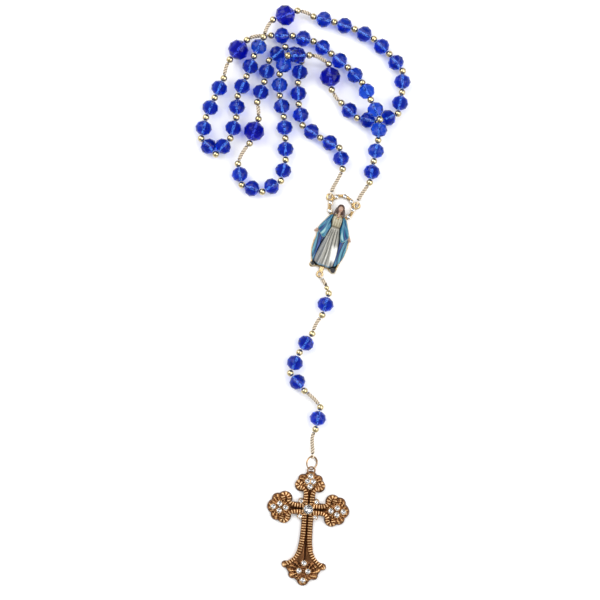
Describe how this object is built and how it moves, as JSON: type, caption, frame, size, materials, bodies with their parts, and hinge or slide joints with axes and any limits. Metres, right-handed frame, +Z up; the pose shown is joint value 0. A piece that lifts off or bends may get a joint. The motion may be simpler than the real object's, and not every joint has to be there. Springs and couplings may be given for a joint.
{
  "type": "rosary",
  "caption": "Rosary of faceted blue glass beads and gold spacers on a beige cord, with an enamelled centre medal and a jewelled cross.",
  "frame": {"origin": "middle of the laid-out rosary's outline, on the table that it lies on", "axes": "+Z up off the table, out of the front of the medal and the cross; +Y from the cross towards the loop of beads; +X to the right of the medal as seen from the front"},
  "size_m": [0.1034, 0.279, 0.0156],
  "materials": {
    "blue_glass": "transparent cut crystal, polished",
    "deep_blue_glass": "deep ultramarine cut crystal, polished",
    "gold_metal": "gold-coloured plating, polished",
    "medal_gold": "gold-coloured plated casting, polished",
    "rhinestone": "clear cut rhinestone, polished",
    "white_enamel": "white enamel, glossy",
    "blue_enamel": "light blue enamel, glossy",
    "figure_paint": "hand-painted enamel, glossy",
    "beige_cord": "twisted beige thread, satin",
    "antique_gold": "antique rose-gold plated casting with darkened recesses"
  },
  "bodies": {
    "loop": {"decade_1_beads": "blue_glass", "decade_2_beads": "blue_glass", "decade_3_beads": "blue_glass", "decade_4_beads": "blue_glass", "decade_5_beads": "blue_glass", "decade_1_spacers": "gold_metal", "decade_2_spacers": "gold_metal", "decade_3_spacers": "gold_metal", "decade_4_spacers": "gold_metal", "decade_5_spacers": "gold_metal", "our_father_spacers": "gold_metal", "loop_cord": "beige_cord", "loop_knots": "beige_cord", "medal_knot_left": "beige_cord", "medal_knot_right": "beige_cord"},
    "left_lobe": {"left_lobe_beads": "blue_glass", "left_lobe_spacers": "gold_metal", "left_lobe_cord": "beige_cord"},
    "right_lobe": {"right_lobe_beads": "blue_glass", "right_lobe_spacers": "gold_metal", "right_lobe_cord": "beige_cord"},
    "lower_lobe": {"lower_lobe_beads": "blue_glass", "lower_lobe_spacers": "gold_metal", "lower_lobe_cord": "beige_cord", "lower_lobe_knot": "beige_cord"},
    "our_father_1": {"our_father_bead_1": "deep_blue_glass"},
    "our_father_2": {"our_father_bead_2": "deep_blue_glass"},
    "our_father_3": {"our_father_bead_3": "deep_blue_glass"},
    "our_father_4": {"our_father_bead_4": "deep_blue_glass"},
    "medal": {"medal_casting": "medal_gold", "medal_halo_stones": "rhinestone", "medal_dress": "white_enamel", "medal_mantle": "blue_enamel", "medal_head_and_hands": "figure_paint"},
    "lower_thread_loop": {"medal_lower_thread_loop": "beige_cord"},
    "pendant_link_1": {"pendant_knot_1": "beige_cord", "pendant_spacer_1": "gold_metal"},
    "pendant_link_2": {"pendant_cord_1": "beige_cord", "pendant_spacer_2": "gold_metal"},
    "pendant_link_3": {"pendant_knot_2": "beige_cord", "pendant_spacer_3": "gold_metal"},
    "pendant_link_4": {"pendant_cord_2": "beige_cord", "pendant_spacer_4": "gold_metal"},
    "pendant_link_5": {"pendant_cord_3": "beige_cord", "pendant_spacer_5": "gold_metal"},
    "pendant_link_6": {"pendant_cord_4": "beige_cord", "pendant_spacer_6": "gold_metal"},
    "pendant_link_7": {"pendant_knot_3": "beige_cord", "pendant_spacer_7": "gold_metal"},
    "pendant_link_8": {"pendant_cord_5": "beige_cord", "pendant_spacer_8": "gold_metal"},
    "pendant_link_9": {"pendant_knot_4": "beige_cord"},
    "bead_1": {"pendant_bead_1": "blue_glass"},
    "bead_2": {"pendant_bead_2": "blue_glass"},
    "bead_3": {"pendant_bead_3": "blue_glass"},
    "bead_4": {"pendant_bead_4": "blue_glass"},
    "bead_5": {"pendant_bead_5": "blue_glass"},
    "jump_ring": {"jump_ring": "gold_metal"},
    "cross": {"cross_casting": "antique_gold", "cross_stones": "rhinestone"}
  },
  "joints": [
    {"name": "left_lobe_lift", "type": "hinge", "parent": "loop", "child": "left_lobe", "pos_m": [-0.0375, 0.1045, 0.004], "axis": [-0.9968, -0.0797, -0.0016], "range_deg": [0, 90]},
    {"name": "right_lobe_lift", "type": "hinge", "parent": "loop", "child": "right_lobe", "pos_m": [0.0055, 0.134, 0.0045], "axis": [0.658, -0.753, -0.0081], "range_deg": [0, 60]},
    {"name": "lower_lobe_lift", "type": "hinge", "parent": "loop", "child": "lower_lobe", "pos_m": [-0.00804, 0.07567, 0.004], "axis": [-0.9872, -0.1462, 0.0635], "range_deg": [0, 75]},
    {"name": "our_father_1_spin", "type": "hinge", "parent": "loop", "child": "our_father_1", "pos_m": [-0.0305, 0.118, 0.0051], "axis": [-0.6561, -0.7547, 0], "continuous": true},
    {"name": "our_father_2_spin", "type": "hinge", "parent": "loop", "child": "our_father_2", "pos_m": [-0.008, 0.1345, 0.0056], "axis": [0.9397, 0.342, 0], "continuous": true},
    {"name": "our_father_3_spin", "type": "hinge", "parent": "loop", "child": "our_father_3", "pos_m": [0.0135, 0.105, 0.0051], "axis": [-0.1219, 0.9925, 0], "continuous": true},
    {"name": "our_father_4_spin", "type": "hinge", "parent": "loop", "child": "our_father_4", "pos_m": [-0.023, 0.079, 0.0051], "axis": [0.342, 0.9397, 0], "continuous": true},
    {"name": "medal_swing", "type": "hinge", "parent": "loop", "child": "medal", "pos_m": [0.01383, 0.0489, 0.0014], "axis": [-0.9511, 0.309, 0], "range_deg": [0, 90]},
    {"name": "pendant_sway", "type": "hinge", "parent": "medal", "child": "lower_thread_loop", "pos_m": [0.0085, 0.0105, 0.0014], "axis": [0, 0, 1], "range_deg": [-100, 25]},
    {"name": "pendant_lift", "type": "hinge", "parent": "lower_thread_loop", "child": "pendant_link_1", "pos_m": [0.0091, 0.00938, 0.0014], "axis": [0.8829, 0.4695, 0], "range_deg": [-90, 0]},
    {"name": "pendant_bend_1", "type": "hinge", "parent": "pendant_link_1", "child": "pendant_link_2", "pos_m": [0.0128, 0.0012, 0.004], "axis": [0, 0, 1], "range_deg": [-9, 81]},
    {"name": "pendant_bend_2", "type": "hinge", "parent": "pendant_link_2", "child": "pendant_link_3", "pos_m": [0.0097, -0.0092, 0.004], "axis": [0, 0, -1], "range_deg": [-57, 33]},
    {"name": "pendant_bend_3", "type": "hinge", "parent": "pendant_link_3", "child": "pendant_link_4", "pos_m": [0.0049, -0.0181, 0.004], "axis": [0, 0, 1], "range_deg": [-39, 51]},
    {"name": "pendant_bend_4", "type": "hinge", "parent": "pendant_link_4", "child": "pendant_link_5", "pos_m": [-0.0012, -0.0271, 0.004], "axis": [0, 0, -1], "range_deg": [-56, 76]},
    {"name": "pendant_bend_5", "type": "hinge", "parent": "pendant_link_5", "child": "pendant_link_6", "pos_m": [-0.0056, -0.037, 0.004], "axis": [0, 0, 1], "range_deg": [-129, 3]},
    {"name": "pendant_bend_6", "type": "hinge", "parent": "pendant_link_6", "child": "pendant_link_7", "pos_m": [0.0012, -0.0455, 0.004], "axis": [0, 0, -1], "range_deg": [-40, 50]},
    {"name": "pendant_bend_7", "type": "hinge", "parent": "pendant_link_7", "child": "pendant_link_8", "pos_m": [0.0088, -0.0534, 0.004], "axis": [0, 0, 1], "range_deg": [-4, 116]},
    {"name": "pendant_bend_8", "type": "hinge", "parent": "pendant_link_8", "child": "pendant_link_9", "pos_m": [0.0065, -0.064, 0.004], "axis": [0, 0, -1], "range_deg": [-55, 35]},
    {"name": "pendant_bead_1_spin", "type": "hinge", "parent": "pendant_link_2", "child": "bead_1", "pos_m": [0.01125, -0.004, 0.004], "axis": [-0.2857, -0.9583, 0], "continuous": true},
    {"name": "pendant_bead_2_spin", "type": "hinge", "parent": "pendant_link_4", "child": "bead_2", "pos_m": [0.00185, -0.0226, 0.004], "axis": [-0.5611, -0.8278, 0], "continuous": true},
    {"name": "pendant_bead_3_spin", "type": "hinge", "parent": "pendant_link_5", "child": "bead_3", "pos_m": [-0.0034, -0.03205, 0.004], "axis": [-0.4061, -0.9138, 0], "continuous": true},
    {"name": "pendant_bead_4_spin", "type": "hinge", "parent": "pendant_link_6", "child": "bead_4", "pos_m": [-0.0022, -0.04125, 0.004], "axis": [0.6247, -0.7809, 0], "continuous": true},
    {"name": "pendant_bead_5_spin", "type": "hinge", "parent": "pendant_link_8", "child": "bead_5", "pos_m": [0.00765, -0.0587, 0.004], "axis": [-0.212, -0.9773, 0], "continuous": true},
    {"name": "ring_swing", "type": "hinge", "parent": "pendant_link_9", "child": "jump_ring", "pos_m": [0.00499, -0.07723, 0.0023], "axis": [-0.7856, 0.0618, 0.6157], "range_deg": [0, 60]},
    {"name": "cross_swing", "type": "hinge", "parent": "jump_ring", "child": "cross", "pos_m": [0.00455, -0.08281, 0.0023], "axis": [0.9969, -0.0785, 0], "range_deg": [-40, 0]}
  ]
}
